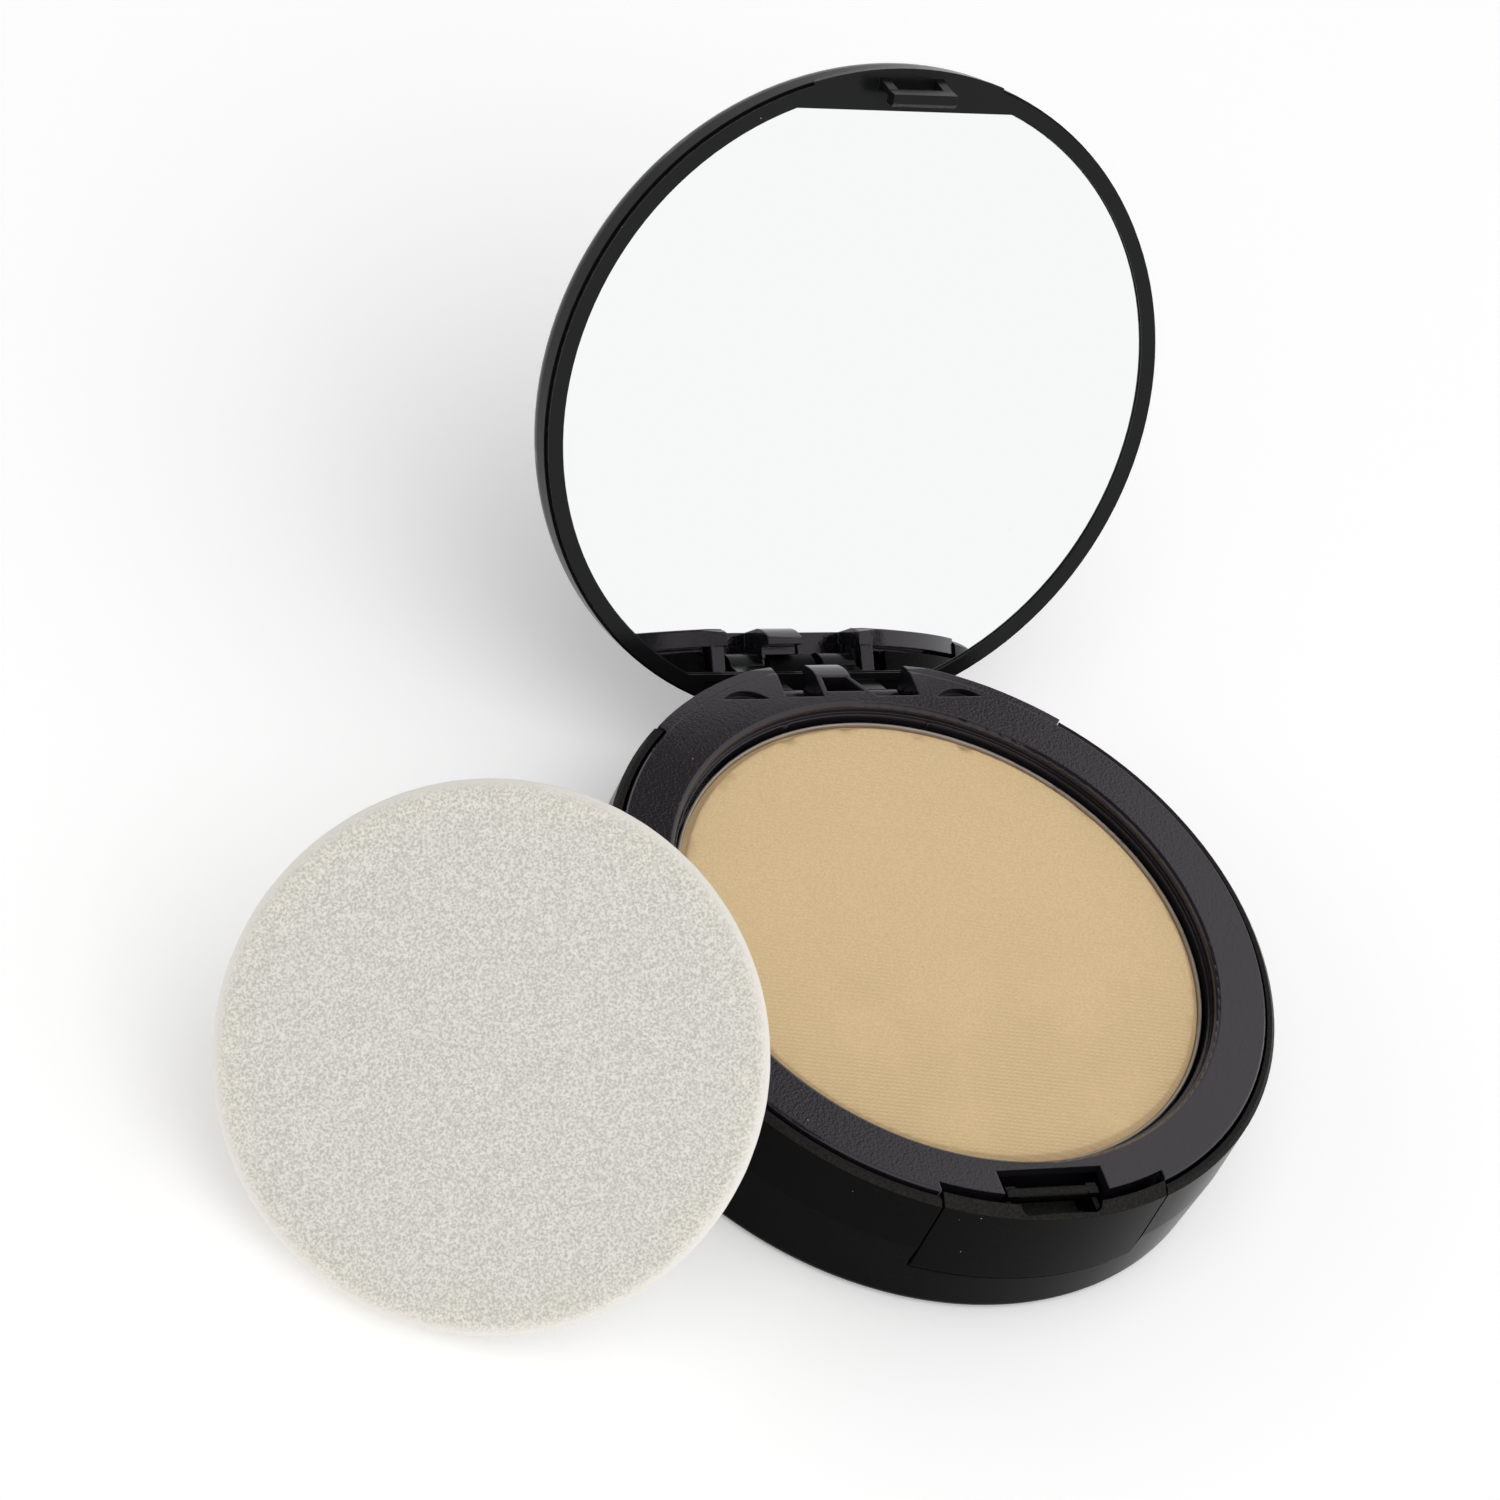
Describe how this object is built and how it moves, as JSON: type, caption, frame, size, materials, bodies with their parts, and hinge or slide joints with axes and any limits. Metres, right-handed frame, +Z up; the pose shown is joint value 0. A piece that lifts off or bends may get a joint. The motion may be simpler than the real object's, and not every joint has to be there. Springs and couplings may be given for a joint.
{
  "type": "powder compact",
  "caption": "Round pocket powder compact with a hinged mirror lid, a pressed-powder pan in a lifting tray, a push-button latch and a loose round foam sponge beside it.",
  "frame": {"origin": "centre of the case's underside, on the surface it stands on", "axes": "+Z up, -Y towards the front with the release button, +Y towards the hinge, +X to the right"},
  "size_m": [0.1226, 0.1179, 0.0709],
  "materials": {
    "case_plastic": "satin black moulded plastic",
    "inner_plastic": "matt black moulded plastic",
    "label": "plain blank sticker",
    "steel": "plain spring steel",
    "tray_plastic": "semi-gloss black moulded plastic",
    "pan_metal": "thin pressed metal",
    "adhesive": "adhesive pad",
    "powder": "matt pressed powder with a woven texture",
    "lid_plastic": "glossy black moulded plastic",
    "mirror_glass": "silvered glass",
    "sponge_foam": "fine open-cell foam"
  },
  "bodies": {
    "base": {"base_shell": "case_plastic", "base_insert": "inner_plastic", "base_label": "label", "hinge_pin": "steel", "button_spring": "steel"},
    "tray": {"tray": "tray_plastic", "pan": "pan_metal", "pan_adhesive": "adhesive", "powder_cake": "powder"},
    "lid": {"lid_shell": "lid_plastic", "lid_frame": "tray_plastic", "mirror": "mirror_glass", "mirror_adhesive": "adhesive"},
    "button": {"release_button": "case_plastic"},
    "sponge": {"sponge": "sponge_foam"}
  },
  "joints": [
    {"name": "tray_hinge", "type": "hinge", "parent": "base", "child": "tray", "pos_m": [0, 0.0335, 0.012], "axis": [-1, 0, 0], "range_deg": [0, 20]},
    {"name": "lid_hinge", "type": "hinge", "parent": "tray", "child": "lid", "pos_m": [0, 0.0335, 0.012], "axis": [-1, 0, 0], "range_deg": [-119, 0]},
    {"name": "button_slide", "type": "slide", "parent": "base", "child": "button", "axis": [0, 1, 0], "range_m": [0, 0.0011], "stiffness_N_per_m": 1500, "springref_m": -0.0008, "deforming": ["button_spring"]},
    {"name": "sponge_slide", "type": "slide", "parent": "base", "child": "sponge", "axis": [-1, 0, 0], "range_m": [0, 0.06]}
  ]
}
